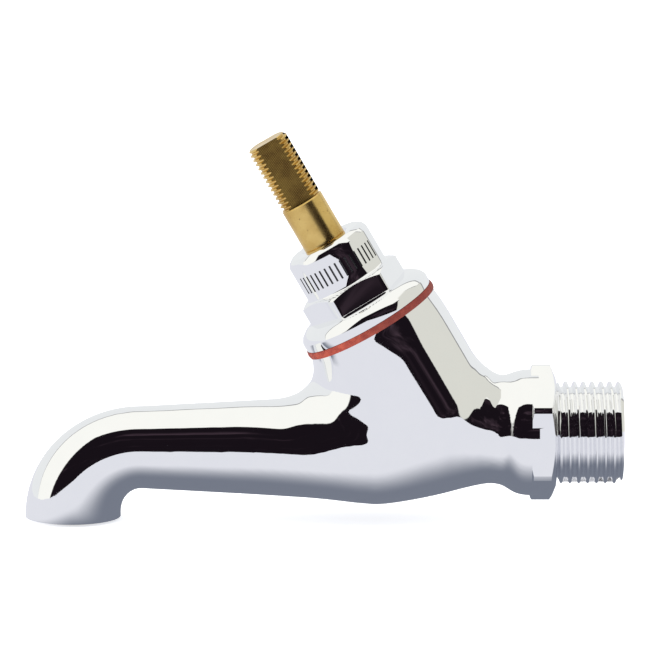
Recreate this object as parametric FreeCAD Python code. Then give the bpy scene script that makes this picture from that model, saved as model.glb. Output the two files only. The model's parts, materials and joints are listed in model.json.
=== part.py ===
"""A half-inch bib tap with a raked headwork, a long spout and a bare spindle, millimetres, +Z up.

The origin is on the inlet axis, at the shoulder where the inlet thread meets the hexagon. The thread runs
along +X into the wall or riser, and the spout runs along -X and turns down. The branch for the headwork
leans towards the spout. The headwork's pieces are built upright in their own frame, whose z = 0 is the
machined face of the branch, and are then set on the branch axis by one placement.

Water comes in through the inlet, rises through the seat, passes round the jumper valve and leaves through
the spout. The spindle screws up and down in the bonnet, and the loose jumper valve follows it. Threads are
drawn as rings of the real pitch and depth.
"""

import FreeCAD
import Part
import math
import os

V = FreeCAD.Vector
X_AXIS, Y_AXIS, Z_AXIS = V(1, 0, 0), V(0, 1, 0), V(0, 0, 1)

# Inlet: a G 1/2 parallel male thread behind a hexagon
thread_major_d = 20.955
thread_pitch = 1.814
thread_depth = 1.162
thread_angle = 55.0  # included angle of the flanks
thread_land = 1.35  # plain land between the shoulder and the first groove
thread_length = 13.7
thread_lead = 0.7  # chamfer at the thread's free end
inlet_bore_d = 13.0
inlet_bore_reach = 20.0  # shoulder to the centre of the bore's round end
hex_flats = 25.0
hex_turned_d = 28.2  # the corners are turned down to this
hex_length = 5.2
hex_chamfer = 1.1

# Collar and neck between the hexagon and the belly
collar_d = 25.6
collar_length = 4.4
collar_round = 1.0  # the collar is this much smaller in radius at its far end
neck_d = 21.4
neck_reach = 13.2  # shoulder to the narrowest part of the neck

# Belly and spout
belly_d = 29.0
belly_reach = 38.0  # shoulder to the middle of the belly
belly_swell = 27.0  # shoulder to where the flare has nearly reached the belly's size
belly_swell_d = 27.0
spout_drop = 3.1  # the spout axis lies this far below the inlet axis
spout_root_d = 21.8
spout_tip_d = 16.9
spout_tip_reach = 84.0
bend_width = 16.6  # across the bend and the outlet
bend_outer_r = 23.0
bend_inner_r = 5.2
bend_spread = 1.9  # the outer bend's centre lies this far beyond the inner bend's
bend_sections = 6
outlet_drop = 17.6  # the outlet's rim lies this far below the inlet axis
outlet_bore_d = 13.2
outlet_bore_length = 3.0
spout_bore_d = 12.2
spout_bore_bend_r = 14.0
spout_bore_overrun = 1.0  # the core's round end lies this far short of the belly's middle

# Branch that the headwork screws into
branch_rake = 30.0  # degrees from vertical, towards the spout
branch_foot = 24.4  # shoulder to where the branch axis meets the inlet axis
branch_height = 26.56  # along the branch axis, from the inlet axis to the branch face
branch_d = 29.4
branch_root = 17.0  # depth below the face at which the branch rounds off into the belly

# Valve chamber and seat, measured down from the branch face
chamber_d = 19.6
seat_depth = 19.5
seat_lip_height = 1.5
seat_lip_d = 14.8
seat_bore_d = 12.0
port_d = 8.4  # from the side of the chamber into the spout
port_clearance = 0.3  # between the port and the seat's lip
port_rise = 2.0  # the port's centre lies this far above the seat

# Sealing washer between the branch and the bonnet
washer_d = 29.3
washer_clearance = 0.15  # round the bonnet's barrel
washer_thickness = 1.5

# Bonnet
flange_d = 28.9
flange_rim = 2.0
flange_height = 4.2
flange_shoulder_d = 22.9
bonnet_flats = 19.4
bonnet_hex_height = 4.5
bonnet_hex_turn = 9.0  # degrees that the hexagon has come round to when tight
bonnet_chamfer = 0.8
cap_d = 18.1
cap_height = 9.3
cap_chamfer = 1.3
barrel_d = 20.955
barrel_length = 8.0
barrel_clearance = 0.05  # round the barrel in the branch
barrel_gap = 0.4  # under the barrel in the branch
marks_count = 14  # plain upright strokes on the front of the cap
marks_spacing = 8.0  # degrees
marks_turn = -90.0  # direction that the middle of the row faces
marks_depth = 0.25
marks_width = 0.4
marks_height = 3.4

# Spindle
stem_d = 9.0
running_clearance = 0.05
screw_d = 12.0  # working thread, held as a plain running fit
screw_length = 11.0
lift_pitch = 1.814
lift_turns = 3.5
stop_clearance = 0.35  # left above the screw when the spindle is fully up
head_rise = 9.4  # plain stem that shows above the cap when the tap is shut
head_length = 14.3
head_thread_d = 8.7
head_pitch = 1.0
head_thread_depth = 0.55
head_thread_angle = 60.0
head_land = 1.0  # plain length before the head's first groove
head_flats = 6.3
head_chamfer = 0.6
head_turn = 3.0  # degrees that the flats stand off the tap's side when shut
oring_cord = 1.5
oring_groove = 2.0
oring_clearance = 0.05  # left inside and outside each ring, which the real rubber fills
oring_heights = (7.8, 11.6)  # above the branch face, tap shut

# Jumper valve
jumper_d = 16.2
jumper_thickness = 2.0
jumper_hub_d = 9.0
jumper_hub_height = 1.5
jumper_pin_d = 6.0
jumper_pin_length = 9.0
jumper_fit = 0.05
jumper_washer_d = 15.6
jumper_washer_thickness = 3.0
jumper_stud_d = 4.0
jumper_stud_end = 0.6  # stud that shows below the nut
jumper_pin_room = 0.5  # left above the pin in the spindle
jumper_nut_flats = 7.0
jumper_nut_height = 2.2
stud_fit = 0.02

# Worked out from the values above
thread_r = thread_major_d / 2
hex_base = washer_thickness + flange_height
hex_top = hex_base + bonnet_hex_height
cap_top = hex_top + cap_height
lift = lift_pitch * lift_turns
jumper_base = jumper_washer_thickness - seat_depth
jumper_top = jumper_base + jumper_thickness
screw_base = jumper_top + jumper_hub_height
screw_top = screw_base + screw_length
bonnet_stop = screw_top + lift + stop_clearance
head_base = cap_top + head_rise
head_top = head_base + head_length
stem_bore_d = stem_d + 2 * running_clearance
screw_bore_d = screw_d + 2 * running_clearance
rake = math.radians(branch_rake)
branch_axis = V(-math.sin(rake), 0, math.cos(rake))
branch_face = V(-branch_foot, 0, 0) + branch_axis * branch_height
headwork = FreeCAD.Placement(branch_face, FreeCAD.Rotation(Y_AXIS, -branch_rake))
spout_root = V(-belly_reach, 0, -spout_drop)
spout_tip = V(-spout_tip_reach, 0, -spout_drop)
bend_inner_centre = V(-spout_tip_reach, 0, -spout_drop - spout_tip_d / 2 - bend_inner_r)
bend_outer_centre = V(-spout_tip_reach - bend_spread, 0, -spout_drop + spout_tip_d / 2 - bend_outer_r)
outlet_x = (bend_inner_centre.x - bend_inner_r + bend_outer_centre.x - bend_outer_r) / 2


def place(axis, radius, height):
    """A point at a radius from an axis and a height along it."""
    return V(height, 0, radius) if axis == X_AXIS else V(radius, 0, height)


def turned(points, axis=Z_AXIS):
    """A solid of revolution from (radius, height) points, about the upright axis or the X axis."""
    corners = [place(axis, r, h) for r, h in points]
    wire = Part.makePolygon(corners + corners[:1])
    return Part.Face(wire).revolve(V(0, 0, 0), axis, 360)


def cylinder(diameter, low, high, axis=Z_AXIS):
    """A round bar about an axis, from low to high along it."""
    return Part.makeCylinder(diameter / 2, high - low, axis * low, axis)


def ball(diameter, centre):
    """A sphere, used to round off the end of a cored passage."""
    return Part.makeSphere(diameter / 2, centre)


def hexagon(flats, low, high, axis=Z_AXIS, turn=0.0):
    """A hexagonal bar. At turn 0 two of its flats face along the Y axis."""
    radius = flats / math.sqrt(3)
    corners = []
    for i in range(6):
        a = math.radians(60 * i + turn)
        side = V(0, radius * math.sin(a), radius * math.cos(a))
        upright = V(radius * math.cos(a), radius * math.sin(a), 0)
        corners.append(axis * low + (side if axis == X_AXIS else upright))
    return Part.Face(Part.makePolygon(corners + corners[:1])).extrude(axis * (high - low))


def threaded(major_r, depth, pitch, angle, low, start, high, lead, axis=Z_AXIS):
    """A bar from low to high with ring grooves from start on, and a chamfered far end."""
    flank = depth * math.tan(math.radians(angle / 2))
    crest = (pitch - 2 * flank) / 2
    points = [(0, low), (major_r, low)]
    while start < high:
        points += [(major_r, start), (major_r - depth, start + flank)]
        points += [(major_r - depth, start + flank + crest), (major_r, start + 2 * flank + crest)]
        start += pitch
    points.append((0, start - crest))
    blank = turned([(0, low), (major_r, low), (major_r, high - lead), (major_r - lead, high), (0, high)], axis)
    return turned(points, axis).common(blank)


def inlet():
    """The threaded tail, the hexagon and the collar that swells up to it."""
    tail = threaded(
        thread_r,
        thread_depth,
        thread_pitch,
        thread_angle,
        -hex_length / 2,
        thread_land,
        thread_length,
        thread_lead,
        X_AXIS,
    )
    corner_r = hex_turned_d / 2
    blank = turned(
        [
            (0, -hex_length),
            (corner_r - hex_chamfer, -hex_length),
            (corner_r, hex_chamfer / 2 - hex_length),
            (corner_r, -hex_chamfer),
            (corner_r - 2 * hex_chamfer, 0),
            (0, 0),
        ],
        X_AXIS,
    )
    nut = hexagon(hex_flats, -hex_length, 0, X_AXIS).common(blank)
    collar = turned(
        [
            (0, -neck_reach),
            (neck_d / 2, -neck_reach),
            (collar_d / 2 - collar_round, -hex_length - collar_length),
            (collar_d / 2, -hex_length - collar_length / 4),
            (hex_flats / 2, -hex_length + hex_chamfer),
            (0, -hex_length + hex_chamfer),
        ],
        X_AXIS,
    )
    return tail.fuse(nut).fuse(collar)


def belly():
    """The flared neck and the round belly, turned about the inlet axis."""
    radius = belly_d / 2
    start = V(-neck_reach, 0, neck_d / 2)
    widest = V(-belly_reach, 0, radius)
    flare = Part.BSplineCurve()
    flare.interpolate(
        [start, V(-belly_swell, 0, belly_swell_d / 2), widest],
        InitialTangent=V(-1, 0, 0.15),
        FinalTangent=V(-1, 0, 0),
    )
    half = math.sqrt(0.5)
    dome = Part.Arc(widest, V(-belly_reach - radius * half, 0, radius * half), V(-belly_reach - radius, 0, 0))
    axis_line = Part.makePolygon([V(-belly_reach - radius, 0, 0), V(-neck_reach, 0, 0), start])
    wire = Part.Wire([flare.toShape(), dome.toShape()] + axis_line.Edges)
    return Part.Face(wire).revolve(V(0, 0, 0), X_AXIS, 360)


def section(outer, inner, width):
    """A section of the bend: an ellipse between two points of its side outline."""
    middle = (outer + inner) * 0.5
    across = (outer - inner) * 0.5
    if across.Length >= width / 2:
        curve = Part.Ellipse(outer, middle + Y_AXIS * (width / 2), middle)
    else:
        curve = Part.Ellipse(middle + Y_AXIS * (width / 2), middle - across, middle)
    return Part.Wire(curve.toShape())


def bend():
    """The turned-down end of the spout, which widens towards the outlet in the plane of the bend."""
    sections = []
    top, bottom = spout_tip + Z_AXIS * (spout_tip_d / 2), spout_tip - Z_AXIS * (spout_tip_d / 2)
    sections.append(section(top, bottom, spout_tip_d))
    for i in range(bend_sections):
        a = math.radians(90 + 90 * (i + 0.6) / bend_sections)
        way = V(math.cos(a), 0, math.sin(a))
        outer = bend_outer_centre + way * bend_outer_r
        inner = bend_inner_centre + way * bend_inner_r
        width = spout_tip_d + (bend_width - spout_tip_d) * (i + 1) / bend_sections
        sections.append(section(outer, inner, width))
    outer = V(bend_outer_centre.x - bend_outer_r, 0, -outlet_drop)
    inner = V(bend_inner_centre.x - bend_inner_r, 0, -outlet_drop)
    sections.append(section(outer, inner, bend_width))
    return Part.makeLoft(sections, True, False)


def spout():
    """The tapered pipe from the belly to the bend."""
    length = spout_tip_reach - belly_reach
    return Part.makeCone(spout_root_d / 2, spout_tip_d / 2, length, spout_root, -X_AXIS)


def branch():
    """The raked barrel for the headwork, with a domed foot inside the belly."""
    return in_headwork(cylinder(branch_d, -branch_root, 0).fuse(ball(branch_d, V(0, 0, -branch_root))))


def in_headwork(shape):
    """Sets a shape that was built upright on the branch axis."""
    shape.Placement = headwork
    return shape


def waterways():
    """Everything that is bored or cored out of the body, one shape each."""
    floor = -seat_depth - seat_lip_height
    lip = cylinder(seat_lip_d, floor - 1, -seat_depth)
    yield in_headwork(cylinder(chamber_d, floor, 1).cut(lip))
    yield in_headwork(cylinder(barrel_d + 2 * barrel_clearance, -barrel_length - barrel_gap, 1))
    yield in_headwork(cylinder(seat_bore_d, -branch_height, 1 - seat_depth))
    yield ball(seat_bore_d, V(-branch_foot, 0, 0))
    yield cylinder(inlet_bore_d, -inlet_bore_reach, thread_length + 1, X_AXIS)
    yield ball(inlet_bore_d, V(-inlet_bore_reach, 0, 0))
    # the spout's core ends in a ball, and a port joins it to the side of the chamber
    core_start = spout_root - X_AXIS * spout_bore_overrun
    turn_start = V(outlet_x + spout_bore_bend_r, 0, -spout_drop)
    turn_centre = turn_start - Z_AXIS * spout_bore_bend_r
    turn_middle = turn_centre + V(-math.sqrt(0.5), 0, math.sqrt(0.5)) * spout_bore_bend_r
    turn_end = turn_centre - X_AXIS * spout_bore_bend_r
    path = Part.Wire([
        Part.LineSegment(core_start, turn_start).toShape(),
        Part.Arc(turn_start, turn_middle, turn_end).toShape(),
        Part.LineSegment(turn_end, V(outlet_x, 0, -outlet_drop - 1)).toShape(),
    ])
    ring = Part.Wire(Part.makeCircle(spout_bore_d / 2, core_start, X_AXIS))
    yield path.makePipeShell([ring], True, False)
    yield ball(spout_bore_d, core_start)
    port = headwork.multVec(V(-(seat_lip_d + port_d) / 2 - port_clearance, 0, port_rise - seat_depth))
    reach = core_start - port
    yield Part.makeCylinder(port_d / 2, reach.Length, port, reach)
    yield ball(port_d, port)
    below_outlet = V(outlet_x, 0, -outlet_drop - 1)
    yield Part.makeCylinder(outlet_bore_d / 2, outlet_bore_length + 1, below_outlet)


def body():
    """The brass casting: inlet, belly, branch and spout, with its waterway cored out."""
    shell = belly().fuse(branch()).fuse(spout())
    shell = shell.fuse(inlet()).fuse(bend())
    for core in waterways():
        shell = shell.cut(core)
    return shell


def body_washer():
    """The red fibre washer that seals the bonnet on the branch face."""
    bore = barrel_d + 2 * washer_clearance
    ring = cylinder(washer_d, 0, washer_thickness).cut(cylinder(bore, -1, washer_thickness + 1))
    return in_headwork(ring)


def bonnet():
    """The bonnet: barrel, flange, hexagon and cap in one piece, bored for the spindle."""
    flange_r, base = flange_d / 2, washer_thickness
    shell = turned([
        (0, -barrel_length),
        (barrel_d / 2 - 1, -barrel_length),
        (barrel_d / 2, 1 - barrel_length),
        (barrel_d / 2, base),
        (flange_r, base),
        (flange_r, base + flange_rim),
        (flange_shoulder_d / 2, hex_base),
        (0, hex_base),
    ])
    corner_r = bonnet_flats / math.sqrt(3)
    blank = turned([
        (0, hex_base - 1),
        (corner_r, hex_base - 1),
        (corner_r, hex_top - bonnet_chamfer),
        (bonnet_flats / 2 - 0.1, hex_top),
        (0, hex_top),
    ])
    nut = hexagon(bonnet_flats, hex_base - 1, hex_top, turn=bonnet_hex_turn).common(blank)
    cap_r = cap_d / 2
    cap = turned([
        (0, hex_top - 1),
        (cap_r, hex_top - 1),
        (cap_r, cap_top - cap_chamfer),
        (cap_r - cap_chamfer, cap_top),
        (0, cap_top),
    ])
    shell = shell.fuse(nut).fuse(cap)
    low = (hex_top + cap_top - cap_chamfer - marks_height) / 2
    for i in range(marks_count):
        corner = V(cap_r - marks_depth, -marks_width / 2, low)
        stroke = Part.makeBox(marks_depth + 1, marks_width, marks_height, corner)
        stroke.rotate(V(0, 0, 0), Z_AXIS, marks_turn + marks_spacing * (i - (marks_count - 1) / 2))
        shell = shell.cut(stroke)
    shell = shell.cut(cylinder(screw_bore_d, -barrel_length - 1, bonnet_stop))
    shell = shell.cut(cylinder(stem_bore_d, 0, cap_top + 1))
    return in_headwork(shell)


def spindle():
    """The brass spindle: working screw below, grooved stem, and a flatted threaded head for the handle."""
    stem = cylinder(screw_d, screw_base, screw_top).fuse(cylinder(stem_d, screw_top - 1, head_base))
    head = threaded(
        head_thread_d / 2,
        head_thread_depth,
        head_pitch,
        head_thread_angle,
        head_base - 1,
        head_base + head_land,
        head_top,
        head_chamfer,
    )
    corner = V(-head_thread_d, -head_flats / 2, head_base)
    flats = Part.makeBox(2 * head_thread_d, head_flats, head_length, corner)
    flats.rotate(V(0, 0, 0), Z_AXIS, head_turn)
    root = cylinder(stem_d, head_base - 2, head_base)
    shape = stem.fuse(head.common(flats.fuse(root)))
    for height in oring_heights:
        ring_floor = stem_bore_d - 2 * oring_cord
        groove = cylinder(stem_d + 1, height - oring_groove / 2, height + oring_groove / 2)
        shape = shape.cut(groove.cut(cylinder(ring_floor, height - oring_groove, height + oring_groove)))
    socket_top = screw_base + jumper_pin_length + jumper_pin_room
    socket = cylinder(jumper_pin_d + 2 * jumper_fit, screw_base - 1, socket_top)
    return in_headwork(shape.cut(socket))


def spindle_o_rings():
    """Two rubber rings that seal the stem in the bonnet."""
    cord_r = oring_cord / 2 - oring_clearance
    ring_r = (stem_bore_d - oring_cord) / 2
    rings = [Part.makeTorus(ring_r, cord_r, V(0, 0, height)) for height in oring_heights]
    return in_headwork(Part.makeCompound(rings))


def jumper_valve():
    """The loose brass valve: a disc and hub, a pin up into the spindle and a stud for its washer."""
    disc = cylinder(jumper_d, jumper_base, jumper_top)
    hub = cylinder(jumper_hub_d, jumper_top, screw_base)
    pin = cylinder(jumper_pin_d, screw_base, screw_base + jumper_pin_length)
    stud = cylinder(jumper_stud_d, -seat_depth - jumper_nut_height - jumper_stud_end, jumper_base)
    return in_headwork(disc.fuse(hub).fuse(pin).fuse(stud))


def jumper_washer():
    """The rubber washer that closes on the seat."""
    bore = jumper_stud_d + 2 * stud_fit
    ring = cylinder(jumper_washer_d, -seat_depth, jumper_base)
    return in_headwork(ring.cut(cylinder(bore, -seat_depth - 1, jumper_base + 1)))


def jumper_nut():
    """The small nut that holds the rubber washer on the valve."""
    low = -seat_depth - jumper_nut_height
    nut = hexagon(jumper_nut_flats, low, -seat_depth)
    return in_headwork(nut.cut(cylinder(jumper_stud_d + 2 * stud_fit, low - 1, 1 - seat_depth)))


pieces = {
    "body": body,
    "body_washer": body_washer,
    "bonnet": bonnet,
    "spindle": spindle,
    "spindle_o_rings": spindle_o_rings,
    "jumper_valve": jumper_valve,
    "jumper_washer": jumper_washer,
    "jumper_nut": jumper_nut,
}

os.makedirs("parts", exist_ok=True)
for name, make in pieces.items():
    shape = make()
    print(f"{name}: {len(shape.Solids)} solid(s), valid {shape.isValid()}, {shape.Volume:.0f} mm3")
    shape.exportStep(f"parts/{name}.step")
print(f"branch face {branch_face}, axis {branch_axis}, lift {lift:.3f}")
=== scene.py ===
# %% [markdown]
# # A chromed bib tap
#
# This script dresses a half-inch bib tap: a cast and chromed body with a long spout, a chromed bonnet, a
# red fibre washer and a bare brass spindle. The engineering model gives every size, place and joint. The
# script builds the surfaces that are seen on top of it: a cast skin with soft fillets, real helical
# threads, eased edges and finishes that vary over the metal.

import json
import math
from collections import Counter
from contextlib import contextmanager

import bmesh
import bpy
import numpy as np
import openvdb
from mathutils import Matrix, Vector

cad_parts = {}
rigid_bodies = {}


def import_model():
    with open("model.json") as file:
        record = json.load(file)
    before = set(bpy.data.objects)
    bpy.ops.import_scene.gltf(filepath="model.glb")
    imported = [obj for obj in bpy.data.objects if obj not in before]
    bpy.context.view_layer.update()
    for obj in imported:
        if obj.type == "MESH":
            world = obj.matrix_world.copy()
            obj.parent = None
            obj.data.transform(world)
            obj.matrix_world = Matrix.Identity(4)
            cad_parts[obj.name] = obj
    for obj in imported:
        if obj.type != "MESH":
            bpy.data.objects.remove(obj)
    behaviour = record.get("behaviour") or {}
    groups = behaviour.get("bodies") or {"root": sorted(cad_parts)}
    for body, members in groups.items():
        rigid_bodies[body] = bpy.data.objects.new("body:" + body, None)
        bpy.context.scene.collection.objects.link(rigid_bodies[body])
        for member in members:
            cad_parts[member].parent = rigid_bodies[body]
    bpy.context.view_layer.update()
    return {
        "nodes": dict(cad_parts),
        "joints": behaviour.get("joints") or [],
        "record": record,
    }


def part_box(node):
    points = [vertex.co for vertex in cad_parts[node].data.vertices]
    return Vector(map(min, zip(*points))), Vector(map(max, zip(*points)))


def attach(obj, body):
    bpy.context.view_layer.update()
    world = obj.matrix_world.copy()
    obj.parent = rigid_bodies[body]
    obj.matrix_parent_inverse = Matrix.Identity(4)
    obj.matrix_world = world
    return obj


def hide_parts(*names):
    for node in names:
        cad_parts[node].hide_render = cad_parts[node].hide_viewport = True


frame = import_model()
MM = 0.001
record = frame["record"]
mounts = {m["name"]: m for m in record["mounts"]}
joints = {j["name"]: j for j in frame["joints"]}
body_low, body_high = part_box("body")

# %% [markdown]
# ## Two frames of reference
#
# The inlet, belly and spout are turned or swept about horizontal lines, so they are built straight in the
# tap's own axes. The headwork is raked, and its parts are simple turned shapes about their own axis. They
# are built upright, with z = 0 on the machined face of the branch, and one matrix then lays them on the
# branch.

# %% The headwork's own axes
head_axis = Vector(joints["spindle_turn"]["axis"]).normalized()
head_origin = Vector(joints["spindle_turn"]["pos_m"])
side_axis = Vector((0, 1, 0))
head_rows = Matrix((side_axis.cross(head_axis), side_axis, head_axis))
head_matrix = Matrix.Translation(head_origin) @ head_rows.transposed().to_4x4()
inlet_matrix = Matrix.Rotation(math.radians(90), 4, "Y")
print("headwork raked", round(math.degrees(math.acos(head_axis.z)), 1), "degrees from vertical")


# %% [markdown]
# ## Small tools for materials
#
# A shader is easier to read as a sum than as a web of nodes. `Value` wraps one socket, and its operators
# add the Math node that they stand for. `Finish` opens a new material and adds any other node in one
# line.

# %% A shader socket that can be added and multiplied
class Value:
    def __init__(self, finish, socket):
        self.finish = finish
        self.socket = socket

    def math(self, operation, *others):
        return self.finish.node("ShaderNodeMath", {"operation": operation}, (self, *others))

    def __add__(self, other):
        return self.math("ADD", other)

    def __mul__(self, other):
        return self.math("MULTIPLY", other)

    def __sub__(self, other):
        return self.math("SUBTRACT", other)

    def __rsub__(self, other):
        return self.finish.node("ShaderNodeMath", {"operation": "SUBTRACT"}, (other, self))


class Finish:
    def __init__(self, name, slot_color):
        self.material = bpy.data.materials.new(name)
        self.material.use_nodes = True
        self.material.diffuse_color = (*slot_color, 1)
        self.tree = self.material.node_tree
        self.shader = self.tree.nodes["Principled BSDF"]
        self.place = self.node("ShaderNodeTexCoord", output="Object")

    def node(self, kind, settings=None, inputs=(), output=0):
        made = self.tree.nodes.new(kind)
        for key, value in (settings or {}).items():
            setattr(made, key, value)
        pairs = inputs.items() if isinstance(inputs, dict) else enumerate(inputs)
        for key, value in pairs:
            self.feed(made.inputs[key], value)
        return Value(self, made.outputs[output])

    def feed(self, socket, value):
        if isinstance(value, Value):
            self.tree.links.new(value.socket, socket)
        else:
            socket.default_value = value

    def axes(self, place):
        """The three coordinates of a place, each as a value."""
        split = self.node("ShaderNodeSeparateXYZ", inputs=(place,)).socket.node
        return [Value(self, socket) for socket in split.outputs]

    def set(self, **sockets):
        for name, value in sockets.items():
            self.feed(self.shader.inputs[name.replace("_", " ")], value)

    def noise(self, scale, detail=3.0, roughness=0.5, stretch=(1, 1, 1)):
        where = self.node("ShaderNodeMapping", inputs={"Vector": self.place, "Scale": stretch})
        return self.node(
            "ShaderNodeTexNoise",
            inputs={"Vector": where, "Scale": scale, "Detail": detail, "Roughness": roughness},
        )

    def bump(self, height, distance, strength=1.0, normal=None):
        inputs = {"Height": height, "Distance": distance, "Strength": strength}
        if normal:
            inputs["Normal"] = normal
        return self.node("ShaderNodeBump", inputs=inputs)


# %% Two helpers that join values
def between(value, low, high, to_low=0.0, to_high=1.0):
    """Maps one range of a value onto another, with soft ends."""
    settings = {"interpolation_type": "SMOOTHSTEP"}
    inputs = {0: value, 1: low, 2: high, 3: to_low, 4: to_high}
    return value.finish.node("ShaderNodeMapRange", settings, inputs)


def mix_color(finish, factor, first, second):
    """Fades from the first colour to the second as the factor goes from 0 to 1."""
    pick = {0: factor, 6: first if isinstance(first, Value) else (*first, 1)}
    pick[7] = second if isinstance(second, Value) else (*second, 1)
    return finish.node("ShaderNodeMix", {"data_type": "RGBA"}, pick, output=2)


print("shader tools ready")

# %% [markdown]
# ## Chrome plate
#
# Bright chromium over nickel on polished brass. It is almost a mirror, with a cool tint. One smooth metal
# shader would look like a computer's mirror. Real polishing leaves a slow waviness of a few microns,
# which bends long reflections, and a faint haze of fine scratches. So two noises feed the bump of a
# Principled shader and a third one feeds its roughness.

# %% Chrome
chrome = Finish("chrome_plate", (0.8, 0.81, 0.83))
chrome_wave = chrome.noise(90.0, 2.0)
chrome_grain = chrome.noise(2600.0, 4.0, 0.6)
chrome_haze = chrome.noise(220.0, 5.0, 0.65)
chrome_normal = chrome.bump(chrome_wave, 0.00002, 0.35)
chrome_normal = chrome.bump(chrome_grain, 0.000002, 0.25, chrome_normal)
chrome.set(
    Base_Color=mix_color(chrome, chrome_haze, (0.9, 0.905, 0.925), (0.94, 0.94, 0.95)),
    Metallic=1.0,
    Roughness=between(chrome_haze, 0.35, 0.75, 0.012, 0.05),
    Normal=chrome_normal,
)
print("chrome:", len(chrome.tree.nodes), "nodes")

# %% [markdown]
# ## Bare brass
#
# The spindle is turned from free-cutting brass and left bare. Its colour shifts a little from yellow to
# brown where it has been handled, with small dark specks. A painted texture could hold that, but it needs
# the surface unwrapped. Noise in the object's own space needs no unwrapping and stays sharp from near.

# %% Brass
brass = Finish("turned_brass", (0.8, 0.6, 0.27))
brass_tone = brass.noise(160.0, 4.0, 0.6)
brass_specks = brass.noise(1500.0, 2.0, 0.5)
brass_speck_mask = between(brass_specks, 0.68, 0.76)
brass_color = mix_color(brass, between(brass_tone, 0.3, 0.75), (0.79, 0.56, 0.2), (0.62, 0.4, 0.12))
brass_color = mix_color(brass, brass_speck_mask * 0.7, brass_color, (0.16, 0.09, 0.03))
brass.set(Base_Color=brass_color, Metallic=1.0, Roughness=between(brass_tone, 0.2, 0.8, 0.16, 0.3))
print("brass:", len(brass.tree.nodes), "nodes")

# %% [markdown]
# ## Milled brass
#
# The two flats of the spindle's head were milled after turning, so they show the cutter's tracks, and
# their colour is set much darker than the turned brass. Modelling each track would take thousands of
# faces. Two wave textures that lean opposite ways are multiplied instead, which gives the criss-cross of
# a cutter that goes out and comes back.

# %% Milled brass
milled = Finish("milled_brass", (0.3, 0.2, 0.08))
milled_marks = []
for lean in (40, -35):
    leant = {"Vector": milled.place, "Rotation": (0, math.radians(lean), 0)}
    laid = milled.node("ShaderNodeMapping", inputs=leant)
    arcs = {"wave_type": "BANDS", "bands_direction": "X", "wave_profile": "SIN"}
    sizes = {"Vector": laid, "Scale": 850.0, "Distortion": 0.6, "Detail": 2.0, "Detail Scale": 2.0}
    milled_marks.append(milled.node("ShaderNodeTexWave", arcs, sizes, output=1))
milled_cut = milled_marks[0] * milled_marks[1]
milled_tone = milled.noise(260.0, 3.0, 0.6)
milled_color = mix_color(milled, between(milled_tone, 0.3, 0.7), (0.1, 0.05, 0.012), (0.24, 0.15, 0.035))
milled.set(
    Base_Color=mix_color(milled, milled_cut * 0.6, milled_color, (0.45, 0.3, 0.09)),
    Metallic=0.9,
    Roughness=between(milled_cut, 0.0, 1.0, 0.5, 0.35),
    Normal=milled.bump(milled_cut, 0.00003, 0.6),
)
print("milled brass:", len(milled.tree.nodes), "nodes")

# %% [markdown]
# ## Red fibre
#
# Vulcanised fibre is pressed paper: matt, brick red, slightly mottled, with a fuzzy cut edge. Hair could
# make the fuzz, but it is far too small for that, so a very fine noise in the bump does it. A soft step
# along X paints shade on one side, which makes it darker there.

# %% Fibre
fibre = Finish("red_fibre", (0.55, 0.11, 0.08))
fibre_mottle = fibre.noise(700.0, 5.0, 0.6)
fibre_fuzz = fibre.noise(5200.0, 3.0, 0.6)
# Painted shade: a soft step along X darkens the washer towards +X, down to a near-black red.
fibre_painted_shade = between(fibre.axes(fibre.place)[0], -0.045, -0.034)
fibre_color = mix_color(fibre, between(fibre_mottle, 0.3, 0.75), (0.3, 0.03, 0.015), (0.48, 0.075, 0.035))
fibre.set(
    Base_Color=mix_color(fibre, fibre_painted_shade * 0.65, fibre_color, (0.11, 0.008, 0.005)),
    Roughness=between(fibre_fuzz, 0.3, 0.7, 0.55, 0.8),
    Normal=fibre.bump(fibre_fuzz, 0.00004, 0.5),
)
print("fibre:", len(fibre.tree.nodes), "nodes")

# %% [markdown]
# ## Black rubber
#
# The two rings on the stem and the tap washer are nitrile rubber: black, dull and a little dusty. They
# are inside and seldom seen, so one noise between two near blacks is enough.

# %% Rubber
rubber = Finish("black_rubber", (0.03, 0.03, 0.03))
rubber_dust = rubber.noise(900.0, 4.0, 0.6)
rubber.set(
    Base_Color=mix_color(rubber, rubber_dust, (0.02, 0.02, 0.022), (0.05, 0.05, 0.05)),
    Roughness=between(rubber_dust, 0.3, 0.7, 0.5, 0.75),
)
print("rubber:", len(rubber.tree.nodes), "nodes")

# %% [markdown]
# ## The casting's skin
#
# A cast body has no hard corner where its tubes meet: the pattern-maker blends them with fillets, and
# polishing softens them further. Fillets between raked tubes are hard to model as patches, and a mirror
# finish shows every fault. So the skin is described by one rule instead, a distance field: for any point
# in space, how far is it from the metal? Fields of simple tubes are joined with a soft minimum, which is
# the fillet. OpenVDB turns the field into a mesh, and each vertex is then pulled onto the exact zero
# level.

# %% Sizes of the casting, in millimetres on the inlet axis
flare_reach = np.array([-38.0, -34.0, -29.0, -23.4, -19.3, -16.0, -13.2, -11.0, -9.6, -8.2, -6.6, -4.0])
flare_radius = np.array([14.5, 14.4, 13.8, 12.65, 11.6, 10.85, 10.5, 10.9, 11.7, 12.45, 12.85, 12.95])
belly_reach, belly_r = -38.0, 14.5
spout_drop = -3.15
spout_root_r, spout_tip_r = 10.95, 8.45
bend_centre = np.array([-85.0, -17.35])
bend_r = -bend_centre[1] + spout_drop
outlet_half_length, outlet_half_width = 9.8, 8.3
branch_r = 14.7
branch_foot_depth = 21.5
rim_ease, rim_length = 0.45, 7.0
swell_reach, swell_length, swell_width = -66.0, 27.0, 3.4
spout_fillet, branch_fillet = 6.5, 7.0
outlet_height = body_low.z / MM
hex_reach = -5.2
flare_lean = 0.97  # across a sloping wall the true distance is this share of the radial one
print("outlet", round(outlet_height, 2), "mm below the inlet axis")


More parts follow.
